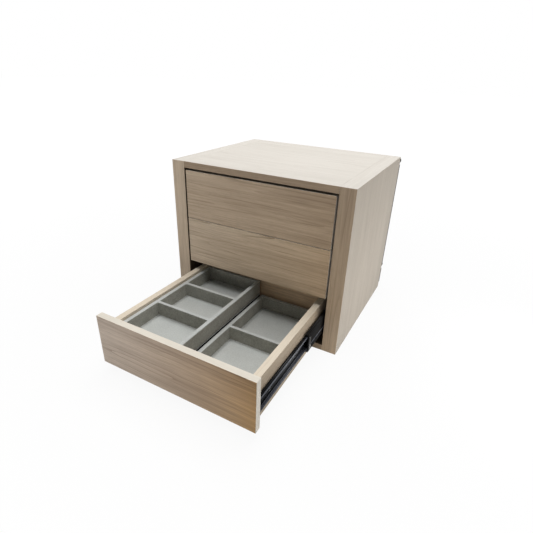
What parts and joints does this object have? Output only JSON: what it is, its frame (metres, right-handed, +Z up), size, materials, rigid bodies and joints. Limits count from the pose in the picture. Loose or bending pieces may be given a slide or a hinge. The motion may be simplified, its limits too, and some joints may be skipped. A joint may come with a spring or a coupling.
{
  "type": "jewelry drawer chest",
  "caption": "Free-standing wooden jewelry chest with flush handle-less drawers on ball runners, each holding divided lined trays.",
  "frame": {"origin": "centre of the case's flat underside", "axes": "+Z up, +Y towards the back (the drawers open along -Y), +X to the right seen from the front"},
  "size_m": [0.36, 0.5643, 0.314],
  "materials": {
    "case_veneer": "satin washed veneer",
    "drawer_wood": "satin",
    "tray_cloth": "suede-like cloth",
    "runner_steel": "black satin",
    "screw_steel": "zinc plated",
    "back_board": "dark matt",
    "dowel_beech": "plain",
    "buffer_rubber": "matt",
    "catch_plastic": "matt"
  },
  "bodies": {
    "case": {"case_right_side": "case_veneer", "case_left_side": "case_veneer", "case_top": "case_veneer", "case_bottom": "case_veneer", "case_back_panel": "back_board", "case_dowels": "dowel_beech", "case_back_screws": "screw_steel", "case_runner_screws": "screw_steel", "case_wall_buffers": "buffer_rubber", "bottom_right_cabinet_runner": "runner_steel", "bottom_left_cabinet_runner": "runner_steel", "middle_right_cabinet_runner": "runner_steel", "middle_left_cabinet_runner": "runner_steel", "top_right_cabinet_runner": "runner_steel", "top_left_cabinet_runner": "runner_steel"},
    "bottom_right_middle_runner": {"bottom_right_middle_runner": "runner_steel"},
    "bottom_left_middle_runner": {"bottom_left_middle_runner": "runner_steel"},
    "bottom_drawer": {"bottom_drawer_front": "case_veneer", "bottom_drawer_box_front": "drawer_wood", "bottom_drawer_right_side": "drawer_wood", "bottom_drawer_left_side": "drawer_wood", "bottom_drawer_back": "drawer_wood", "bottom_drawer_base": "drawer_wood", "bottom_drawer_screws": "screw_steel", "bottom_drawer_left_tray": "tray_cloth", "bottom_drawer_right_tray": "tray_cloth", "bottom_right_drawer_runner": "runner_steel", "bottom_left_drawer_runner": "runner_steel"},
    "bottom_drawer_upper_tray": {"bottom_drawer_upper_tray": "tray_cloth"},
    "bottom_push_catches": {"bottom_push_catches": "catch_plastic"},
    "middle_right_middle_runner": {"middle_right_middle_runner": "runner_steel"},
    "middle_left_middle_runner": {"middle_left_middle_runner": "runner_steel"},
    "middle_drawer": {"middle_drawer_front": "case_veneer", "middle_drawer_box_front": "drawer_wood", "middle_drawer_right_side": "drawer_wood", "middle_drawer_left_side": "drawer_wood", "middle_drawer_back": "drawer_wood", "middle_drawer_base": "drawer_wood", "middle_drawer_screws": "screw_steel", "middle_drawer_left_tray": "tray_cloth", "middle_drawer_right_tray": "tray_cloth", "middle_right_drawer_runner": "runner_steel", "middle_left_drawer_runner": "runner_steel"},
    "middle_drawer_upper_tray": {"middle_drawer_upper_tray": "tray_cloth"},
    "middle_push_catches": {"middle_push_catches": "catch_plastic"},
    "top_right_middle_runner": {"top_right_middle_runner": "runner_steel"},
    "top_left_middle_runner": {"top_left_middle_runner": "runner_steel"},
    "top_drawer": {"top_drawer_front": "case_veneer", "top_drawer_box_front": "drawer_wood", "top_drawer_right_side": "drawer_wood", "top_drawer_left_side": "drawer_wood", "top_drawer_back": "drawer_wood", "top_drawer_base": "drawer_wood", "top_drawer_screws": "screw_steel", "top_drawer_left_tray": "tray_cloth", "top_drawer_right_tray": "tray_cloth", "top_right_drawer_runner": "runner_steel", "top_left_drawer_runner": "runner_steel"},
    "top_drawer_upper_tray": {"top_drawer_upper_tray": "tray_cloth"},
    "top_push_catches": {"top_push_catches": "catch_plastic"}
  },
  "joints": [
    {"name": "bottom_drawer_slide", "type": "slide", "parent": "case", "child": "bottom_drawer", "axis": [0, -1, 0], "range_m": [-0.2443, 0.0087]},
    {"name": "bottom_right_middle_runner_slide", "type": "slide", "parent": "case", "child": "bottom_right_middle_runner", "axis": [0, -1, 0], "range_m": [-0.07999, 0.00294]},
    {"name": "bottom_left_middle_runner_slide", "type": "slide", "parent": "case", "child": "bottom_left_middle_runner", "axis": [0, -1, 0], "range_m": [-0.07999, 0.00294]},
    {"name": "bottom_drawer_upper_tray_slide", "type": "slide", "parent": "bottom_drawer", "child": "bottom_drawer_upper_tray", "axis": [1, 0, 0], "range_m": [0, 0.1288]},
    {"name": "bottom_push_catches_slide", "type": "slide", "parent": "case", "child": "bottom_push_catches", "axis": [0, -1, 0], "range_m": [-0.018, 0]},
    {"name": "middle_drawer_slide", "type": "slide", "parent": "case", "child": "middle_drawer", "axis": [0, -1, 0], "range_m": [-0.003, 0.25]},
    {"name": "middle_right_middle_runner_slide", "type": "slide", "parent": "case", "child": "middle_right_middle_runner", "axis": [0, -1, 0], "range_m": [-0.00108, 0.08185]},
    {"name": "middle_left_middle_runner_slide", "type": "slide", "parent": "case", "child": "middle_left_middle_runner", "axis": [0, -1, 0], "range_m": [-0.00108, 0.08185]},
    {"name": "middle_drawer_upper_tray_slide", "type": "slide", "parent": "middle_drawer", "child": "middle_drawer_upper_tray", "axis": [1, 0, 0], "range_m": [0, 0.1288]},
    {"name": "middle_push_catches_slide", "type": "slide", "parent": "case", "child": "middle_push_catches", "axis": [0, -1, 0], "range_m": [-0.003, 0.015]},
    {"name": "top_drawer_slide", "type": "slide", "parent": "case", "child": "top_drawer", "axis": [0, -1, 0], "range_m": [-0.003, 0.25]},
    {"name": "top_right_middle_runner_slide", "type": "slide", "parent": "case", "child": "top_right_middle_runner", "axis": [0, -1, 0], "range_m": [-0.00108, 0.08185]},
    {"name": "top_left_middle_runner_slide", "type": "slide", "parent": "case", "child": "top_left_middle_runner", "axis": [0, -1, 0], "range_m": [-0.00108, 0.08185]},
    {"name": "top_drawer_upper_tray_slide", "type": "slide", "parent": "top_drawer", "child": "top_drawer_upper_tray", "axis": [1, 0, 0], "range_m": [0, 0.1288]},
    {"name": "top_push_catches_slide", "type": "slide", "parent": "case", "child": "top_push_catches", "axis": [0, -1, 0], "range_m": [-0.003, 0.015]}
  ],
  "couplings": [
    {"joint": "bottom_right_middle_runner_slide", "follows": "bottom_drawer_slide", "ratio": 0.327},
    {"joint": "bottom_left_middle_runner_slide", "follows": "bottom_drawer_slide", "ratio": 0.327},
    {"joint": "middle_right_middle_runner_slide", "follows": "middle_drawer_slide", "ratio": 0.327},
    {"joint": "middle_left_middle_runner_slide", "follows": "middle_drawer_slide", "ratio": 0.327},
    {"joint": "top_right_middle_runner_slide", "follows": "top_drawer_slide", "ratio": 0.327},
    {"joint": "top_left_middle_runner_slide", "follows": "top_drawer_slide", "ratio": 0.327}
  ]
}
